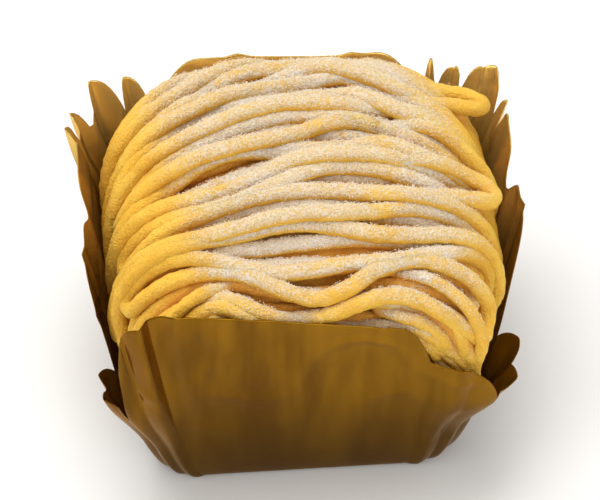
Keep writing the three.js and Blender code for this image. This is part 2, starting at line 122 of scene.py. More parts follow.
# Sponge as Blender makes it
SPONGE_STEPS = {"panel_steps": 24, "pleat_steps": 6}
SPONGE_ROWS = ((0.8, 30, 34), (30.5, SPONGE_TOP, 6))  # lowest, highest and how many
SPONGE_SWELLS = (  # heights, and how far the block's side stands out there
    (0.8, 4, 12, 30, 32.2, SPONGE_TOP),
    (-3.4, -2.2, -0.3, 0, -0.9, -3),
)
CRUMB = {"inset": 0.25, "depth": 0.35, "bumps": ((1.7, 1.0), (5.0, 0.8))}  # bumps of a size and share

# Dome that the strands lie on, as in the CAD. A place on it is u along the strands and v across
# them, both measured over its surface from the middle.
RIM_HEIGHT = 41.3
CROWN = 9.7
CROWN_POWER = 2.5
END = {"flat": 17.0, "turned": 38.0, "angle": 98.0, "reach": 30.0}  # towards either end
SIDE = {"flat": 20.5, "turned": 32.5, "angle": 92.0, "reach": 28.0}  # towards the front and back
SKIRT_U, SKIRT_V = 39.0, 33.5  # the core's edge
FALL = 4.5  # of the dome at its back corners
FALL_X, FALL_Y = (6.0, 27.0), (0.0, 27.0)

# Core's plan, as in the CAD: an ellipse where the power is 1, and squarer below that. The front's
# power is reached at a share of the way from the middle to the front.
CORE_POWER = 0.42
CORE_FRONT = {"power": 0.8, "at": 0.6}

# Chestnut cream strands, as in the CAD
STRAND_RADIUS = 1.45
SINK = 0.7  # how deep a strand settles into what it lies on
RING_STEP = 5.5  # between the points of a route
UNDER = {"count": 18, "spread": 31.0, "sway": 1.8, "fan": 0.55}
UPPER = {"count": 21, "spread": 30.5, "sway": 3.0, "fan": 1.0}
PLACE = (0.3, 0.7)  # of a strand within its share of the spread
LEAST_SWAY = 0.25  # as a share of the layer's
CROWDING = 0.16  # of strands towards the dome's sides
FLOW_SWAY, FLOW_WAVE, FLOW_LAG = 0.8, 90.0, 0.1  # a sway that all strands share
LONG_WAVES, SHORT_WAVES = (44.0, 80.0), (20.0, 34.0)
SHORT_SHARE = 0.4
HANG = (35.0, 45.0)  # how far out a strand ends
TURN = (25.0, 30.0)  # how far out it turns back instead
GATHERED_BY = 40.0  # how far out strands have drawn together

# At each end strands draw together in bunches, and those behind the steady one come forward.
LEFT_END = {"bunch": -18.0, "spacing": 26.0, "pull": 0.4, "drift": -18.0, "steady": -25.0}
RIGHT_END = {"bunch": -14.0, "spacing": 24.0, "pull": 0.35, "drift": -17.0, "steady": -12.0}

SWOOP = 9.0  # how far the front strands turn down at either end
SWOOP_U, SWOOP_V = (13.0, 36.0), (18.0, 29.0)
LOOP = {"share": 0.75, "narrowest": 2.5, "stretch": 1.15, "steps": 4}  # where a strand turns back
SEED = 41
HIGHEST = {"middle": 5.3, "end": 3.8, "from": 20.0, "by": 34.0}  # of a strand's centre over the dome
DRAPES = (  # strands that hang over the front corners, as places over the dome
    ((-6, -30), (0, -31), (7, -31), (14, -31.5), (20, -33), (25, -35.5), (28, -38.5), (29, -42), (29, -46)),
    ((4, -25), (10, -25.5), (16, -26.5), (22, -28.5), (27, -32), (30, -36), (31, -40), (31.5, -44.5)),
    ((2, -31.5), (-4, -31), (-10, -31.5), (-16, -33), (-22, -35), (-26, -38), (-28, -42)),
    ((-8, -26.5), (-14, -27.5), (-20, -29), (-26, -32), (-30, -36), (-31.5, -41), (-29, -42), (-25, -37)),
)
LAST_STRANDS = (  # at the right-hand end, two of them loops: places, and how far each is lifted there
    (
        (13, 20.5, -4), (18, 20, -1), (22.5, 18.8, 1), (25.3, 17.6, 4),
        (26.2, 15.6, 5), (25, 13.8, 3.5), (22, 13.2, 0.5), (17.5, 13.2, -3),
    ),
    (
        (15, 6, -3), (20, 4.6, 0), (24.5, 2.8, 0.5),
        (28, 1, 1.5), (30, -0.8, 1.2), (32, -2.4, -0.5),
    ),
    (
        (14, -3.5, -3), (18.5, -3.8, 0), (23, -4.4, 1), (25.8, -5.8, 3),
        (26.2, -8, 3), (23.5, -9.6, 1), (18.5, -9.6, -3),
    ),
)

# Strands as Blender makes them, with thinner ones in the bundles over the front corners
FINE_DRAPES = (  # places over the dome, and how far the strand is lifted there
    ((10, -26.5, -4), (15, -27.2, -1), (19, -28.8, 0), (22.5, -31.5, 0), (25, -35, 0), (25.5, -37.5, 0)),
    ((12, -24.5, -4), (17, -25.3, -1), (21.5, -27.3, 0), (25.5, -30.5, 0), (28, -34, 0), (28.7, -36, 0)),
    ((14, -22.5, -4), (19, -23.5, -1), (24, -25.8, 0), (28, -29, 0), (30.5, -32.5, 0), (31, -34.5, 0)),
    ((8, -28.5, -4), (13, -29, -1), (17, -30.5, 0), (20, -33.5, 0), (21, -36.5, 0)),
    ((-10, -28, -4), (-15, -28.8, -1), (-19, -30.5, 0), (-22, -33.5, 0), (-24, -37.5, 0), (-24.5, -43, 0)),
    (
        (-12, -25.5, -4), (-17, -26.4, -1), (-21.5, -28.6, 0),
        (-25.3, -32, 0), (-27.8, -36.5, 0), (-28.5, -42.5, 0),
    ),
    ((-13, -23, -4), (-18.5, -24, -1), (-23.5, -26.4, 0), (-28, -30, 0), (-31, -35, 0), (-32, -41, 0)),
)
FINE_RADIUS = 1.1
FINE_STEP = 0.45
CURVE_STEPS = 24  # from one point of a route to the next, before they are spaced evenly
STRAND_SIDES = 22
HELD_OVER, SMOOTHED_OVER = 0.9, 1.8  # lengths of strand that bridge dips in what it crosses
LEAST_END = 0.12  # of a strand's rounded end, as a share of its radius
SWELL = {"share": 0.09, "length": 9.0}  # of a strand's radius along it
STRAND_BUMPS = ((1.4, 0.16, 0.0), (0.6, 0.11, 0.5))  # sizes, depths and shifts of the seed
SEED_STEPS = (17.3, 5.1, 9.7)  # how far each seed moves the noise
CELL = 0.25
GRID_U, GRID_V = 60.0, 52.0  # half the size of the grid over the dome
RELIEF_WIDTH = 2.0  # over which the heap is levelled to tell its ridges from its valleys
SHOWN_DEPTH = 0.5  # how far under the heap's surface a point still counts as showing
CORE_AROUND, CORE_ROUNDS = 160, 60
CORE_BOTTOM = SPONGE_TOP + 0.5
CORE_SINK = 0.2  # under the dome that the strands lie on
CORE_BUMPS = {"size": 2.2, "depth": 0.35, "seed": 3}
# Painted shade: this low relief draws the core in the cream's darker crevice colour.
CORE_RELIEF = -1.6  # of the core, which only shows at the bottom of the valleys

# Powdered sugar: where it starts to lie, or thins out, and where that change is complete
DUST_FACING = (-0.2, 0.6)  # of surfaces, as how far upwards they face
DUST_ENDS = (16.0, 28.0)  # outwards along the strands
DUST_LEFT = 3.5  # how much nearer to the middle that is on the left
DUST_SLANT = {"left": -0.1, "right": 0.15}  # of those limits on the way to the back
DUST_FRONT, FRONT_SHARE = (-31.0, -24.0), 0.45  # backwards, and what lies at the front
DUST_RIDGES, RIDGE_LOSS = (-0.8, 0.4), 0.6  # of the relief, and what the ridges have less
DUST_DEPTHS = (-2.0, -1.0)  # of the relief, below which none lies
DUST_PATCHES = {"large": 9.0, "small": 1.3, "small_share": 0.6, "range": (-1.5, 0.1)}
DUST_GAIN = 1.2
GRAINS = 49000
GRAIN_SIZE = (0.14, 0.3)
GRAIN_SCATTER, GRAIN_LIFT = 0.16, 0.04
GRAIN_CROWDING = 1.5  # above 1, grains keep more to where the sugar lies thickest


def lerp(a, b, share):
    return a + (b - a) * share


def smoothstep(x, low, high):
    share = np.clip((x - low) / (high - low), 0, 1)
    return share * share * (3 - 2 * share)


class Draws:
    """The CAD's sequence of random draws, so that the strands lie on the same routes."""

    def __init__(self, seed):
        self.state = seed
        self.draw()

    @staticmethod
    def multiply(a, b):
        return (a * b) & 0xFFFFFFFF

    def draw(self):
        self.state = (self.state + 0x6D2B79F5) & 0xFFFFFFFF
        t = self.multiply(self.state ^ (self.state >> 15), self.state | 1)
        t ^= (t + self.multiply(t ^ (t >> 7), t | 61)) & 0xFFFFFFFF
        return (t ^ (t >> 14)) / 4294967296

    def between(self, low, high):
        return lerp(low, high, self.draw())


# Dome


class TurningProfile:
    """A curve that starts level and turns down: its reach and its drop after each length."""

    def __init__(self, flat, turned, angle, reach, length=70.0, step=0.25):
        self.end_reach = reach
        self.s = np.arange(int(length / step) + 1) * step
        heading = math.radians(angle) * smoothstep(self.s[:-1] + step / 2, flat, turned)
        self.reaches = np.concatenate([[0], np.cumsum(np.cos(heading) * step)])
        self.drops = np.concatenate([[0], np.cumsum(np.sin(heading) * step)])

    def reach(self, s):
        return np.sign(s) * np.interp(np.abs(s), self.s, self.reaches)

    def drop(self, s):
        return np.interp(np.abs(s), self.s, self.drops)

    def crown_share(self, x):
        return np.maximum(0, 1 - np.abs(x / self.end_reach) ** CROWN_POWER)


ALONG = TurningProfile(**END)
ACROSS = TurningProfile(**SIDE)


def dome_points(u, v):
    x = ALONG.reach(u)
    y = ACROSS.reach(v)
    crown = CROWN * ALONG.crown_share(x) * ACROSS.crown_share(y)
    fall = FALL * smoothstep(np.abs(x), *FALL_X) * smoothstep(y, *FALL_Y)
    return np.stack([x, y, RIM_HEIGHT + crown - fall - ALONG.drop(u) - ACROSS.drop(v)], axis=-1)


def dome_ways(u, v, step=0.5):
    """The ways over the dome as u and v grow, and out of it, all of one length."""
    along = dome_points(u + step, v) - dome_points(u - step, v)
    across = dome_points(u, v + step) - dome_points(u, v - step)
    ways = np.stack([along, across, np.cross(along, across)], axis=-2)
    return ways / np.linalg.norm(ways, axis=-1, keepdims=True)


def dome_normals(u, v):
    return dome_ways(u, v)[..., 2, :]


# Strand routes


def end_share(u):
    """How far out towards either end a place is, from 0 to 1."""
    return float(smoothstep(abs(u), 0, GATHERED_BY))


def slide(u, v, fan):
    """How far what lies towards the back comes forward at either end."""
    end = LEFT_END if u < 0 else RIGHT_END
    back = max(0.0, (v - end["steady"]) / (SKIRT_V - end["steady"]))
    return fan * end["drift"] * back * end_share(u)


def gathered(u, v, fan):
    """Towards each end strands come forward and draw together in bunches."""
    end = LEFT_END if u < 0 else RIGHT_END
    turn = 2 * math.pi * (v - end["bunch"]) / end["spacing"]
    draw = end["pull"] * end["spacing"] / (2 * math.pi) * math.sin(turn)
    swoop = SWOOP * float(smoothstep(abs(u), *SWOOP_U) * smoothstep(-v, *SWOOP_V))
    return v + slide(u, v, fan) - draw * end_share(u) - swoop


def strand_course(draws, start, sway, fan):
    """A strand's own course, which gives v at each u."""
    size = (LEAST_SWAY + (1 - LEAST_SWAY) * draws.draw() ** 3) * sway
    waves = [draws.between(*LONG_WAVES), draws.between(*SHORT_WAVES)]
    phases = [draws.between(0, 2 * math.pi) for _ in waves]

    def course(u):
        flow = FLOW_SWAY * math.sin(2 * math.pi * u / FLOW_WAVE + FLOW_LAG * start)
        long, short = [math.sin(2 * math.pi * u / wave + phase) for wave, phase in zip(waves, phases)]
        return gathered(u, start + flow + size * (long + SHORT_SHARE * short), fan)

    return course


def pass_along(course, start, end):
    """Places of one pass of strand, evenly apart in u."""
    steps = math.floor(abs(end - start) / RING_STEP + 0.5)
    us = [lerp(start, end, i / steps) for i in range(steps + 1)]
    return [(u, course(u)) for u in us]


def turn_back(u, v, next_v, heading):
    """Places round the loop that joins one pass to the next."""
    radius = (next_v - v) / 2
    points = []
    for i in range(1, LOOP["steps"]):
        angle = math.pi * i / LOOP["steps"]
        reach = LOOP["stretch"] * abs(radius) * math.sin(angle)
        points.append((u + heading * reach, v + radius * (1 - math.cos(angle))))
    return points


def layer_routes(draws, count, spread, sway, fan):
    """Routes of a layer's strands, laid side by side, many of them joined by loops."""
    courses = []
    for i in range(count):
        place = lerp(-1, 1, (i + draws.between(*PLACE)) / count)
        start = spread * place * (1 + CROWDING * (1 - place**2))
        courses.append(strand_course(draws, start, sway, fan))
    routes = []
    route = []
    heading = 1
    start = -draws.between(*HANG)
    for i, course in enumerate(courses):
        turn = heading * draws.between(*TURN)
        following = courses[i + 1] if i + 1 < count else None
        room = following(turn) - course(turn) if following else 0
        turns = room > LOOP["narrowest"] and draws.draw() < LOOP["share"]
        end = turn if turns else heading * draws.between(*HANG)
        route += pass_along(course, start, end)
        if turns:
            route += turn_back(end, course(end), following(end), heading)
            start = end
        else:
            routes.append(np.array(route))
            route = []
            start = heading * draws.between(*HANG)
        heading = -heading
    return routes


def fine_route(route):
    """A smooth curve through the route's points, with a point each FINE_STEP of length."""
    ends = [2 * route[0] - route[1], 2 * route[-1] - route[-2]]
    points = np.vstack([ends[0], route, ends[1]])
    share = np.linspace(0, 1, CURVE_STEPS, endpoint=False)[:, None]
    pieces = []
    for a, b, c, d in zip(points, points[1:], points[2:], points[3:]):
        cubic = -a + 3 * b - 3 * c + d
        square = 2 * a - 5 * b + 4 * c - d
        pieces.append(0.5 * (2 * b + (c - a) * share + square * share**2 + cubic * share**3))
    dense = np.vstack([*pieces, route[-1:]])
    return evenly(dense, FINE_STEP)


def evenly(points, step):
    """Points at even lengths along a line of points."""
    lengths = np.concatenate([[0], np.cumsum(np.linalg.norm(np.diff(points, axis=0), axis=1))])
    count = max(4, round(lengths[-1] / step))
    at = np.linspace(0, lengths[-1], count + 1)
    return np.stack([np.interp(at, lengths, column) for column in points.T], axis=1)


# Laying strands: a grid over the dome keeps how high the heap stands so far


class Heap:
    """How high strands stand over each cell of the dome."""

    def __init__(self):
        self.shape = (round(2 * GRID_U / CELL) + 1, round(2 * GRID_V / CELL) + 1)
        self.height = np.zeros(self.shape)
        self.reach = math.ceil(STRAND_RADIUS / CELL) + 1

    def near(self, u, v, radius):
        """The cells under a strand's cross-section at u, v and how far it bulges over each."""
        ci = round((u + GRID_U) / CELL)
        cj = round((v + GRID_V) / CELL)
        rows = slice(max(0, ci - self.reach), ci + self.reach + 1)
        columns = slice(max(0, cj - self.reach), cj + self.reach + 1)
        du = np.arange(self.shape[0])[rows] * CELL - GRID_U - u
        dv = np.arange(self.shape[1])[columns] * CELL - GRID_V - v
        square = radius**2 - du[:, None] ** 2 - dv[None, :] ** 2
        return (rows, columns), square > 0, np.sqrt(np.maximum(square, 0))

    def rest_height(self, u, v, radius):
        cells, inside, bulge = self.near(u, v, radius)
        return max(radius, float(np.where(inside, self.height[cells] + bulge, 0).max()))

    def add(self, u, v, height, radius):
        cells, inside, bulge = self.near(u, v, radius)
        raised = np.where(inside, height + bulge, 0)
        self.height[cells] = np.maximum(self.height[cells], raised)


def read_grid(grid, u, v):
    """Values of a grid over the dome at places u, v."""
    i = np.clip((u + GRID_U) / CELL, 0, grid.shape[0] - 1.001)
    j = np.clip((v + GRID_V) / CELL, 0, grid.shape[1] - 1.001)
    ci, cj = i.astype(int), j.astype(int)
    fi, fj = i - ci, j - cj
    low = grid[ci, cj] * (1 - fj) + grid[ci, cj + 1] * fj
    high = grid[ci + 1, cj] * (1 - fj) + grid[ci + 1, cj + 1] * fj
    return low * (1 - fi) + high * fi


def blurred_grid(grid, width):
    """A grid over the dome, levelled by a bell of that width."""
    across = np.apply_along_axis(blurred, 0, grid, width / CELL)
    return np.apply_along_axis(blurred, 1, across, width / CELL)


def blurred(values, width):
    """A moving average along a strand, by a bell of that many samples."""
    half = int(3 * width)
    bell = np.exp(-0.5 * (np.arange(-half, half + 1) / width) ** 2)
    padded = np.pad(values, half, mode="edge")
    return np.convolve(padded, bell / bell.sum(), mode="valid")


def highest_near(values, half):
    """The highest value within that many samples to either side."""
    padded = np.pad(values, half, mode="edge")
    return np.max([padded[i : i + len(values)] for i in range(2 * half + 1)], axis=0)


def lay_strand(route, heap, radius):
    """A strand's centres in the scene, and their places over the dome as u, v and height."""
    fine, lift = np.split(fine_route(route), [2], axis=1)
    rest = np.array([heap.rest_height(u, v, radius) for u, v in fine])
    held = highest_near(rest, round(HELD_OVER / FINE_STEP))
    u, v = fine.T
    at_end = smoothstep(np.abs(u), HIGHEST["from"], HIGHEST["by"])
    height = np.minimum(held, lerp(HIGHEST["middle"], HIGHEST["end"], at_end) + SINK)
    height = blurred(height, SMOOTHED_OVER / FINE_STEP) - SINK + lift.sum(axis=1)
    for place, h in zip(fine, height):
        heap.add(*place, h, radius)
    centres = dome_points(u, v) + dome_normals(u, v) * height[:, None]
    return kept_inside(centres, radius), np.column_stack([fine, height])


def corner_at(x, y):
    """The corner of the case that a place is nearest to, as an index."""
    if y < 0:
        return 3 if x < 0 else 0
    return 2 if x < 0 else 1


def splay_at(splay, z, turn):
    """How far a splayed corner stands out at a height, on the way round it."""
    return splay["depth"] * float(smoothstep(z, splay["from"], splay["by"])) * math.sin(math.pi * turn)


def kept_inside(centres, radius):
    """Centres of a strand, moved in wherever it would stand through the case's wall."""
    share = opening_at(centres[:, 2])
    size = size_at(share)
    corner = np.mean([FOOT["corners"], MOUTH["corners"]])
    clear = CAD_FILM + GAP + radius
    half = np.stack([size["half_width"], size["half_depth"]], axis=1) - clear - corner
    beyond = np.abs(centres[:, :2]) - half
    past = np.maximum(beyond, 0)
    length = np.linalg.norm(past, axis=1, keepdims=True)
    turn = np.arctan2(past[:, 1], past[:, 0]) / (math.pi / 2)
    splays = [CORNERS[corner_at(*centre)]["splay"] for centre in centres[:, :2]]
    spare = [SPLAY_USED * splay_at(*values) for values in zip(splays, centres[:, 2], turn)]
    excess = np.maximum(length - corner - np.array(spare)[:, None], 0)
    moved = centres.copy()
    moved[:, :2] -= np.sign(centres[:, :2]) * past / np.maximum(length, 1e-9) * excess
    return moved


# Meshes


def new_object(name, points, faces, material, smooth=True):
    """A mesh object from points in millimetres and lists of their numbers as faces."""
    mesh = bpy.data.meshes.new(name)
    mesh.from_pydata((np.asarray(points) * MM).tolist(), [], faces)
    mesh.polygons.foreach_set("use_smooth", np.full(len(mesh.polygons), smooth))
    mesh.materials.append(material)
    mesh.update()
    piece = bpy.data.objects.new(name, mesh)
    bpy.context.scene.collection.objects.link(piece)
    return piece


def label_points(piece, name, values):
    """Gives each point of a piece a value that its material reads by that name."""
    layer = piece.data.attributes.new(name, "FLOAT", "POINT")
    layer.data.foreach_set("value", values)


def tube(centres, radii, sides):
    """A closed tube along a curve: its points and its triangles and quads."""
    tangents = np.gradient(centres, axis=0)
    tangents /= np.linalg.norm(tangents, axis=1, keepdims=True)
    side = np.cross(tangents[0], (0, 0, 1))
    side /= np.linalg.norm(side)
    sides_at = np.empty_like(centres)
    for i, tangent in enumerate(tangents):
        side = side - tangent * side.dot(tangent)
        side /= np.linalg.norm(side)
        sides_at[i] = side
    ups = np.cross(sides_at, tangents)
    angles = 2 * np.pi * np.arange(sides) / sides
    ring = np.cos(angles)[None, :, None] * sides_at[:, None] + np.sin(angles)[None, :, None] * ups[:, None]
    rows = len(centres)
    points = (centres[:, None] + ring * radii[:, None, None]).reshape(-1, 3)
    points = np.vstack([points, centres[:1], centres[-1:]])
    return points, grid_faces(rows, sides), end_fans(rows, sides)


def grid_faces(rows, columns):
    """Quads between rows of points that close on themselves."""
    i = np.arange(rows - 1)[:, None] * columns
    a = np.arange(columns)[None, :]
    b = (a + 1) % columns
    quads = np.stack([i + a, i + b, i + columns + b, i + columns + a], axis=-1)
    return quads.reshape(-1, 4)


def end_fans(rows, columns):
    """Triangles that close such rows at both ends, round the two points that follow them."""
    low = rows * columns
    last = low - columns
    fans = [[low, (i + 1) % columns, i] for i in range(columns)]
    fans += [[low + 1, last + i, last + (i + 1) % columns] for i in range(columns)]
    return fans


def rounded_ends(count, step, radius):
    """Radii along a strand that close it with a round end."""
    along = np.minimum(np.arange(count), np.arange(count)[::-1]) * step
    share = np.clip(along / radius, LEAST_END, 1)
    return radius * np.sqrt(1 - (1 - share) ** 2)


def roughened(points, outwards, size, depth, seed):
    """Points moved outwards by smooth noise whose bumps have that size."""
    shift = Vector([seed * step for step in SEED_STEPS])
    heights = [noise.noise(Vector(p) / size + shift) for p in points]
    return points + outwards * (np.array(heights) * depth)[:, None]


def strand_mesh(centres, radius, seed):
    """A strand's tube, and the ways out of it at its points."""
    radii = rounded_ends(len(centres), FINE_STEP, radius)
    along = np.arange(len(centres)) * FINE_STEP
    swell = [noise.noise(Vector((s / SWELL["length"], seed * 3.7, 0))) for s in along]
    radii = radii * (1 + SWELL["share"] * np.array(swell))
    points, quads, caps = tube(centres, radii, STRAND_SIDES)
    middle = np.vstack([np.repeat(centres, STRAND_SIDES, axis=0), centres[1:2], centres[-2:-1]])
    outwards = points - middle
    outwards /= np.maximum(np.linalg.norm(outwards, axis=1, keepdims=True), 1e-9)
    for size, depth, shift in STRAND_BUMPS:
        points = roughened(points, outwards, size, depth, seed + shift)
    return points, quads, caps, outwards


def heap_places(points, centres, places):
    """Where a strand's points are over the dome, as u, v and height."""
    ways = dome_ways(*places.T[:2])
    row = np.append(np.repeat(np.arange(len(centres)), STRAND_SIDES), [0, len(centres) - 1])
    offsets = np.einsum("nij,nj->ni", ways[row], points - centres[row])
    return places[row] + offsets


def joined(parts):
    """The points and faces of several closed forms together."""
    points, faces, offset = [], [], 0
    for part_points, quads, caps in parts:
        points.append(part_points)
        faces += (np.asarray(quads) + offset).tolist()
        faces += [[i + offset for i in cap] for cap in caps]
        offset += len(part_points)
    return np.vstack(points), faces


# Film case


def outline_columns(panel_steps, pleat_steps):
    """Places round an outline: the side, the share of half its straight run, and the corner's turn."""
    columns = []
    corner_steps = PLEATS * pleat_steps
    for side in range(4):
        for i in range(panel_steps):
            columns.append((side, -math.cos(math.pi * i / panel_steps), 0.0))
        for i in range(corner_steps):
            columns.append((side, 1.0, i / corner_steps))
    return columns


def outline_point(column, size):
    """A column's place in plan and its way out, for a rectangle with those half sizes and corners."""
    side, share, turn = column
    run, reach = size["half_width"], size["half_depth"]
    if side % 2:
        run, reach = reach, run
    corner = size["corners"][side]
    before = size["corners"][side - 1]
    along = lerp(before - run, run - corner, (share + 1) / 2)
    angle = turn * math.pi / 2
    out = np.array((math.sin(angle), -math.cos(angle)))
    point = np.array((along, corner - reach)) + out * corner
    if turn == 0:
        point[1] = -reach
    spin = side * math.pi / 2
    turned = np.array(((math.cos(spin), -math.sin(spin)), (math.sin(spin), math.cos(spin))))
    return turned @ point, turned @ out


def size_at(share):
    """Half sizes and corners of the case, from its foot at 0 to its mouth at 1."""
    size = {key: lerp(FOOT[key], MOUTH[key], share) for key in ("half_width", "half_depth")}
    pairs = zip(FOOT["corners"], MOUTH["corners"])
    size["corners"] = [lerp(foot, mouth, share) for foot, mouth in pairs]
    return size


def opening_at(z):
    """How far the case has opened at a height: 0 at the foot and 1 at the panels' height."""
    return np.maximum(0.0, z / PANEL_HEIGHT) ** FLARE_POWER


def notch_share(column):
    """How near a place is to the middle of a tab, from 0 to 1."""
    side, share, turn = column
    return math.exp(-((share / NOTCH_WIDTH) ** 2)) if turn == 0 else 0.0


def pleat_share(turn):
    """How far a corner's wall stands out on its way across a pleat, from 0 in the folds to 1."""
    ramp = 1 - abs(2 * ((turn * PLEATS) % 1) - 1)
    return lerp(ramp, math.sin(ramp * math.pi / 2), PLEAT_ROUNDING)


def corner_rim(corner, turn):
    """The rim's height on the way round a corner: folds, and petals with a place, half width and height."""
    shares = [(height, abs(turn - place) / half) for place, half, height in corner["petals"]]
    return corner["fold"] + max(height * max(0.0, 1 - share**3) for height, share in shares)


def rim_height(column):
    """How high the film stands at a place round its outline."""
    side, share, turn = column
    if turn > 0:
        return corner_rim(CORNERS[side], turn)
    panel = PANELS[side]
    edge = max(0.0, (abs(share) - panel["shoulder"]) / (1 - panel["shoulder"]))
    rise = 1 - edge * edge
    top = PANEL_HEIGHT * (panel["height"] + panel["tilt"] * share) - panel["notch"] * notch_share(column)
    end = corner_rim(CORNERS[side], 0) if share > 0 else corner_rim(CORNERS[side - 1], 1)
    return lerp(end, top, rise)


def fold_height(column):
    """How far the creases of a panel stand out at that place across it."""
    side, share, turn = column
    lines = [line[1:] for line in FOLDS if line[0] == side and turn == 0]
    return sum(height * max(0.0, 1 - abs(share - place) / width) for place, height, width in lines)


def ripple(place):
    """How far the film's waves and sharp ridges stand out at a place."""
    wave, ridge = [noise.noise(place / kind["size"] + Vector(kind["shift"])) for kind in (WAVES, RIDGES)]
    crest = max(0.0, 1 - RIDGES["sharpness"] * abs(ridge))
    return WAVES["mean"] + WAVES["depth"] * wave + RIDGES["height"] * crest


def film_point(column, z):
    """A place on the film's wall."""
    side, _, turn = column
    size = size_at(opening_at(z))
    point, out = outline_point(column, size)
    along = np.array((-out[1], out[0]))
    rise = float(smoothstep(z, 0, PANEL_HEIGHT))
    crest = pleat_share(turn)
    pleat = PLEAT_DEPTH * crest * lerp(PLEAT_AT_FOOT, 1, rise)
    width = size["corners"][side] * math.pi / 2 / PLEATS
    lean = PLEAT_LEAN * width * crest * rise
    crease = PANELS[side]["crease"] * notch_share(column)
    relief = fold_height(column) + ripple(Vector((*point, z))) - crease
    bulge = pleat + splay_at(CORNERS[side]["splay"], z, turn) + relief * rise
    point = point + out * bulge + along * lean
    return (*point, z)


def film_case(material):
    columns = outline_columns(**FILM_STEPS)
    count = len(columns)
    shares = np.concatenate([[0.0], np.linspace(FIRST_ROW, 1, FILM_ROWS) ** ROW_POWER])
    wall = [np.array([film_point(c, rim_height(c) * float(share)) for c in columns]) for share in shares]
    rows = [*[wall[0] * (scale, scale, 1) for scale in FLOOR_ROWS], *wall]
    points = np.vstack([*rows, [[0, 0, 0]]])
    faces = grid_faces(len(rows), count).tolist()
    faces += [[len(points) - 1, i, (i + 1) % count] for i in range(count)]
    piece = new_object("film_sheet", points, [face[::-1] for face in faces], material)
    thicken = piece.modifiers.new("thickness", "SOLIDIFY")
    thicken.thickness = FILM * MM
    thicken.offset = 1
    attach(piece, "root")
    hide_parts("film_case")


# Sponge


def sponge_block(material):
    columns = outline_columns(**SPONGE_STEPS)
    heights = np.concatenate([np.linspace(*rows) for rows in SPONGE_ROWS])
    points = []
    for z, swell in zip(heights, np.interp(heights, *SPONGE_SWELLS)):
        for column in columns:
            point, out = outline_point(column, SPONGE)
            place = Vector((*point, z))
            crumb = sum(share * noise.noise(place / size) for size, share in CRUMB["bumps"])
            point = point + out * (float(swell) - CRUMB["inset"] + CRUMB["depth"] * crumb)
            points.append((*point, z))
    points += [(0, 0, heights[0]), (0, 0, heights[-1])]
    shape = len(heights), len(columns)
    piece = new_object("sponge_block", points, grid_faces(*shape).tolist() + end_fans(*shape), material)
    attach(piece, "root")
    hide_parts("sponge")


# Cream


def cream_core(material):
    """The cream under the strands, which only shows between them."""
    angles = 2 * np.pi * np.arange(CORE_AROUND) / CORE_AROUND
    front_share = smoothstep(-np.sin(angles), 0, CORE_FRONT["at"])
    power = lerp(CORE_POWER, CORE_FRONT["power"], front_share)
    plan_u, plan_v = [np.sign(way) * np.abs(way) ** power for way in (np.cos(angles), np.sin(angles))]
    rows = []
    for k in range(CORE_ROUNDS):
        share = 1 - k / CORE_ROUNDS
        u = SKIRT_U * share * plan_u
        v = SKIRT_V * share * plan_v
        v = np.array([b + slide(a, b, UNDER["fan"]) for a, b in zip(u, v)])
        rows.append(dome_points(u, v) - dome_normals(u, v) * CORE_SINK)
    points = np.vstack(rows)
    points = roughened(points, np.broadcast_to((0.0, 0.0, 1.0), points.shape), **CORE_BUMPS)
    points = np.vstack([points, [[0, 0, CORE_BOTTOM], [0, 0, RIM_HEIGHT + CROWN]]])
    shape = CORE_ROUNDS, CORE_AROUND
    piece = new_object("cream_core", points, grid_faces(*shape).tolist() + end_fans(*shape), material)
    label_points(piece, "relief", np.full(len(points), CORE_RELIEF))
    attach(piece, "root")


def laid_strands(heap):
    """The strands of each piece in the order they are laid: radius, centres and places over the dome."""
    draws = Draws(SEED)
    layers = {"under_strands": UNDER, "upper_strands": UPPER}
    routes = {name: layer_routes(draws, **layer) for name, layer in layers.items()}
    routes["under_strands"] += [np.array(drape, float) for drape in DRAPES]
    routes["upper_strands"] += [np.array(last, float) for last in LAST_STRANDS]
    routes["fine_strands"] = [np.array(drape, float) for drape in FINE_DRAPES]
    laid = {}
    for name, layer in routes.items():
        radius = FINE_RADIUS if name == "fine_strands" else STRAND_RADIUS
        laid[name] = [(radius, *lay_strand(route, heap, radius)) for route in layer]
    return laid


def cream_strands(material):
    """All strands as three pieces. Gives their points, ways out and how much sugar shows there."""
    heap = Heap()
    laid = laid_strands(heap)
    level = blurred_grid(heap.height, RELIEF_WIDTH)
    seed = 0
    dusted = []
    for name, layer in laid.items():
        parts, reliefs, covers = [], [], []
        for radius, centres, places in layer:
            seed += 1
            *part, outwards = strand_mesh(centres, radius, seed)
            parts.append(part)
            u, v, height = heap_places(part[0], centres, places).T
            relief = (height - read_grid(level, u, v)) / STRAND_RADIUS
            reliefs.append(relief)
            shown = height > read_grid(heap.height, u, v) - SHOWN_DEPTH
            covers.append(dust_cover(part[0], u, outwards, relief))
            dusted.append(np.column_stack([part[0], outwards, covers[-1] * shown]))
        piece = new_object(name, *joined(parts), material)
        label_points(piece, "relief", np.concatenate(reliefs))
        label_points(piece, "dust", np.concatenate(covers))
        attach(piece, "root")
        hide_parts("chestnut_cream")
    return np.vstack(dusted)


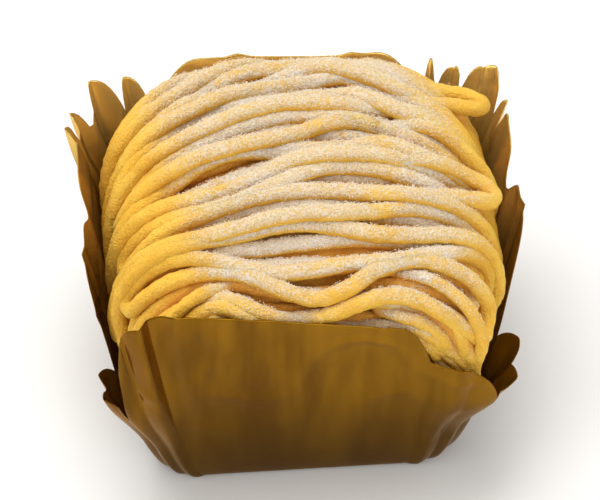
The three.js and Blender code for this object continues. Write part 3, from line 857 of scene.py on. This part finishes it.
def dust_cover(points, u, outwards, relief):
    """How much sugar lies at each point, from 0 to 1."""
    facing = smoothstep(outwards[:, 2], *DUST_FACING)
    slant = np.where(u < 0, DUST_SLANT["left"], DUST_SLANT["right"])
    along = np.abs(u) + np.where(u < 0, DUST_LEFT, 0) + slant * points[:, 1]
    ends = 1 - smoothstep(along, *DUST_ENDS)
    front = lerp(FRONT_SHARE, 1, smoothstep(points[:, 1], *DUST_FRONT))
    ridges = 1 - RIDGE_LOSS * smoothstep(relief, *DUST_RIDGES)
    shallow = smoothstep(relief, *DUST_DEPTHS)
    large, small = [
        np.array([noise.noise(Vector(p) / DUST_PATCHES[size]) for p in points])
        for size in ("large", "small")
    ]
    uneven = smoothstep(large + DUST_PATCHES["small_share"] * small, *DUST_PATCHES["range"])
    return np.minimum(1, DUST_GAIN * facing * ends * front * ridges * shallow * uneven)


def sugar_grains(dusted, material):
    """Small loose grains where the sugar lies thickest."""
    rng = np.random.default_rng(SEED)
    weights = dusted[:, 6] ** GRAIN_CROWDING
    chosen = rng.choice(len(dusted), GRAINS, p=weights / weights.sum())
    jitter = rng.normal(0, GRAIN_SCATTER, (GRAINS, 3))
    centres = dusted[chosen, :3] + dusted[chosen, 3:6] * GRAIN_LIFT + jitter
    corners = np.array([[1, 1, 1], [1, -1, -1], [-1, 1, -1], [-1, -1, 1]]) / math.sqrt(3)
    turns = rng.normal(size=(GRAINS, 3, 3))
    turns = np.linalg.qr(turns)[0]
    turns *= np.sign(np.linalg.det(turns))[:, None, None]
    sizes = rng.uniform(*GRAIN_SIZE, GRAINS)[:, None, None] / 2
    points = centres[:, None] + np.einsum("cj,nij->nci", corners, turns) * sizes
    faces = np.array([[0, 1, 2], [0, 2, 3], [0, 3, 1], [1, 3, 2]])
    faces = (faces[None] + 4 * np.arange(GRAINS)[:, None, None]).reshape(-1, 3)
    piece = new_object("sugar_grains", points.reshape(-1, 3), faces.tolist(), material, smooth=False)
    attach(piece, "root")


# Materials


class Nodes:
    """Short ways to add and join shader nodes in one material."""

    def __init__(self, name):
        self.material = bpy.data.materials.new(name)
        self.material.use_nodes = True
        self.tree = self.material.node_tree
        self.tree.nodes.clear()
        output = self.tree.nodes.new("ShaderNodeOutputMaterial")
        self.shader = self.tree.nodes.new("ShaderNodeBsdfPrincipled")
        self.link(self.shader.outputs["BSDF"], output.inputs["Surface"])
        self.place = self.tree.nodes.new("ShaderNodeTexCoord").outputs["Object"]

    def link(self, source, target):
        self.tree.links.new(source, target)

    def put(self, target, value):
        if isinstance(value, bpy.types.NodeSocket):
            self.link(value, target)
        else:
            target.default_value = value

    def noise(self, scale, detail=3.0, roughness=0.55, stretch=None):
        node = self.tree.nodes.new("ShaderNodeTexNoise")
        node.inputs["Scale"].default_value = scale
        node.inputs["Detail"].default_value = detail
        node.inputs["Roughness"].default_value = roughness
        place = self.place
        if stretch:
            mapping = self.tree.nodes.new("ShaderNodeMapping")
            mapping.inputs["Scale"].default_value = stretch
            self.link(place, mapping.inputs["Vector"])
            place = mapping.outputs["Vector"]
        self.link(place, node.inputs["Vector"])
        return node.outputs["Fac"]

    def remap(self, value, low, high, to_low=0.0, to_high=1.0):
        node = self.tree.nodes.new("ShaderNodeMapRange")
        node.interpolation_type = "SMOOTHSTEP"
        self.put(node.inputs["Value"], value)
        node.inputs["From Min"].default_value = low
        node.inputs["From Max"].default_value = high
        node.inputs["To Min"].default_value = to_low
        node.inputs["To Max"].default_value = to_high
        return node.outputs["Result"]

    def maths(self, operation, a, b=0.0):
        node = self.tree.nodes.new("ShaderNodeMath")
        node.operation = operation
        self.put(node.inputs[0], a)
        self.put(node.inputs[1], b)
        return node.outputs["Value"]

    def product(self, *factors):
        result = factors[0]
        for factor in factors[1:]:
            result = self.maths("MULTIPLY", result, factor)
        return result

    def attribute(self, name):
        node = self.tree.nodes.new("ShaderNodeAttribute")
        node.attribute_name = name
        return node.outputs["Fac"]

    def mix(self, share, a, b):
        node = self.tree.nodes.new("ShaderNodeMix")
        node.data_type = "RGBA"
        self.put(node.inputs["Factor"], share)
        colours = [socket for socket in node.inputs if socket.type == "RGBA"]
        for socket, value in zip(colours, (a, b)):
            self.put(socket, value)
        return [socket for socket in node.outputs if socket.type == "RGBA"][0]

    def bump(self, height, distance, strength=1.0):
        node = self.tree.nodes.new("ShaderNodeBump")
        node.inputs["Strength"].default_value = strength
        node.inputs["Distance"].default_value = distance
        self.link(height, node.inputs["Height"])
        return node.outputs["Normal"]

    def axis(self, name):
        """A place's X, Y or Z in the object's own frame."""
        split = self.tree.nodes.new("ShaderNodeSeparateXYZ")
        self.link(self.place, split.inputs["Vector"])
        return split.outputs[name]

    def set(self, **values):
        """Sets or links the shader's sockets, whose spaces are written as underscores."""
        for name, value in values.items():
            self.put(self.shader.inputs[name.replace("_", " ")], value)


def linear(red, green, blue):
    """A colour given as screen values from 0 to 255."""
    channels = [channel / 255 for channel in (red, green, blue)]
    return (*[c / 12.92 if c <= 0.04045 else ((c + 0.055) / 1.055) ** 2.4 for c in channels], 1.0)


def cream_material():
    m = Nodes("chestnut_cream_dusted")
    relief = m.attribute("relief")
    fresh = m.mix(m.remap(m.noise(140), 0.35, 0.65), linear(244, 194, 70), linear(234, 178, 50))
    # Painted shade: where the relief is lowest, in the crevices between strands, the cream is drawn a
    # darker orange.
    crevice_shade = m.remap(relief, -1.9, -0.8, 1.0, 0.0)
    cover = m.attribute("dust")
    hazed = m.mix(m.product(cover, 0.85), fresh, linear(238, 210, 134))
    clean = m.mix(crevice_shade, hazed, linear(236, 170, 62))
    grain = m.noise(2200, detail=2, roughness=0.7)
    flecks = m.remap(grain, 0.35, 0.65, -0.16, 0.16)
    dusting = m.remap(m.maths("ADD", cover, m.product(flecks, m.remap(cover, 0.0, 0.25))), 0.0, 1.0)
    high_sugar = m.mix(m.remap(grain, 0.35, 0.6), linear(233, 214, 182), linear(248, 240, 232))
    # Painted shade: sugar lower in the heap, in the valleys between strands, is drawn darker and warmer
    # than sugar on the crests.
    shaded_low_sugar = m.mix(m.remap(grain, 0.35, 0.6), linear(226, 180, 112), linear(246, 226, 200))
    sugar = m.mix(m.remap(relief, -1.6, -0.2), shaded_low_sugar, high_sugar)
    m.set(Base_Color=m.mix(dusting, clean, sugar), Roughness=0.8)
    m.set(Subsurface_Weight=0.25, Subsurface_Radius=(1.0, 0.75, 0.4), Subsurface_Scale=0.0006)
    rough = m.maths("MULTIPLY", grain, m.remap(cover, 0.0, 0.4, 0.6, 1.0))
    m.set(Normal=m.bump(rough, 0.0011, 1.0))
    return m.material


def grain_material():
    m = Nodes("sugar_grain")
    m.set(Base_Color=m.mix(m.noise(900), linear(250, 242, 230), linear(242, 222, 182)), Roughness=0.6)
    m.set(Subsurface_Weight=0.3, Subsurface_Radius=(1.0, 0.8, 0.5), Subsurface_Scale=0.0006)
    return m.material


def film_material():
    m = Nodes("gold_film")
    # Painted sheen: soft vertical streaks of lighter and darker gold stand in for highlights and
    # reflections on the film; the broad streaks also vary its roughness.
    streaks = m.noise(70, detail=3, stretch=(1.0, 1.0, 0.3))
    narrow = m.noise(330, detail=2, stretch=(1.0, 1.0, 0.05))
    painted_sheen = m.remap(m.maths("ADD", streaks, m.product(narrow, 0.4)), 0.5, 0.9)
    gold = m.mix(painted_sheen, linear(122, 80, 8), linear(166, 118, 24))
    # Painted shade and painted reflection: the film is drawn darker towards its foot, as if shaded and
    # reflecting a dark ground.
    low = m.remap(m.axis("Z"), 0.0, 0.032, 0.75, 0.0)
    # Painted light: the upper back of the film is drawn pale gold, as if lit through from behind.
    painted_backlight = m.product(m.remap(m.axis("Z"), 0.024, 0.040), m.remap(m.axis("Y"), -0.020, 0.020))
    lit = m.mix(painted_backlight, m.mix(low, gold, linear(80, 56, 10)), linear(250, 214, 122))
    m.set(Base_Color=lit, Roughness=m.remap(streaks, 0.3, 0.7, 0.12, 0.24))
    m.set(Metallic=0.5, Specular_Tint=linear(255, 214, 140), Transmission_Weight=0.65, IOR=1.25)
    return m.material


def sponge_material():
    m = Nodes("sponge_crumb")
    crumb = m.noise(700, detail=4, roughness=0.65)
    # Painted shade: the pores are drawn a darker brown than the crumb around them, and they also dent it
    # through the bump.
    pores = m.remap(m.noise(420, detail=2), 0.3, 0.45)
    baked = m.mix(m.remap(crumb, 0.35, 0.65), linear(222, 170, 84), linear(244, 208, 130))
    m.set(Base_Color=m.mix(pores, linear(178, 122, 52), baked), Roughness=0.9)
    m.set(Normal=m.bump(m.maths("ADD", m.product(crumb, 0.5), pores), 0.0006, 0.9))
    return m.material


def floor_material():
    m = Nodes("pale_floor")
    m.set(Base_Color=m.mix(m.noise(6), linear(232, 231, 229), linear(238, 237, 235)), Roughness=0.6)
    return m.material


# Stage

AZIMUTH, ELEVATION = -4.6, 45.0  # the photograph's view of this cake
DISTANCE = 0.70
LENS = 242.0
AIM = Vector((0.0, -0.0005, 0.0295))
FLOOR_SIZE, FLOOR_DROP = 6, 0.0002  # just under the foot, so that no two faces meet


def add_floor():
    bpy.ops.mesh.primitive_plane_add(size=FLOOR_SIZE, location=(0, 0, -FLOOR_DROP))
    floor = bpy.context.object
    floor.name = "floor"
    floor.data.materials.append(floor_material())


def add_light(name, size, power, place, colour=(1, 1, 1)):
    data = bpy.data.lights.new(name, "AREA")
    data.shape = "RECTANGLE"
    data.size, data.size_y = size
    data.energy = power
    data.color = colour
    light = bpy.data.objects.new(name, data)
    light.location = place
    light.rotation_euler = (AIM - Vector(place)).to_track_quat("-Z", "Y").to_euler()
    bpy.context.scene.collection.objects.link(light)


def add_lights():
    add_light("top_softbox", (0.9, 0.7), 7.7, (-0.15, 0.25, 0.95))
    add_light("front_fill", (1.0, 0.6), 4.0, (0.35, -0.95, 0.55))
    add_light("left_fill", (0.6, 0.6), 2.0, (-0.9, -0.2, 0.45))
    world = bpy.data.worlds.new("studio")
    world.use_nodes = True
    background = world.node_tree.nodes["Background"]
    background.inputs["Color"].default_value = (1.0, 0.99, 0.97, 1.0)
    background.inputs["Strength"].default_value = 0.66
    bpy.context.scene.world = world


def set_colours():
    view = bpy.context.scene.view_settings
    view.view_transform = "Standard"
    view.look = "None"


def add_camera():
    data = bpy.data.cameras.new("camera")
    data.lens = LENS
    camera = bpy.data.objects.new("camera", data)
    azimuth, elevation = math.radians(AZIMUTH), math.radians(ELEVATION)
    level = math.cos(elevation)
    back = Vector((math.sin(azimuth) * level, -math.cos(azimuth) * level, math.sin(elevation)))
    camera.location = AIM + back * DISTANCE
    camera.rotation_mode = "QUATERNION"
    camera.rotation_quaternion = (-back).to_track_quat("-Z", "Y")
    bpy.context.scene.collection.objects.link(camera)
    bpy.context.scene.camera = camera


set_colours()
add_camera()
add_lights()
add_floor()
cream = cream_material()
cream_core(cream)
sugar_grains(cream_strands(cream), grain_material())
film_case(film_material())
sponge_block(sponge_material())
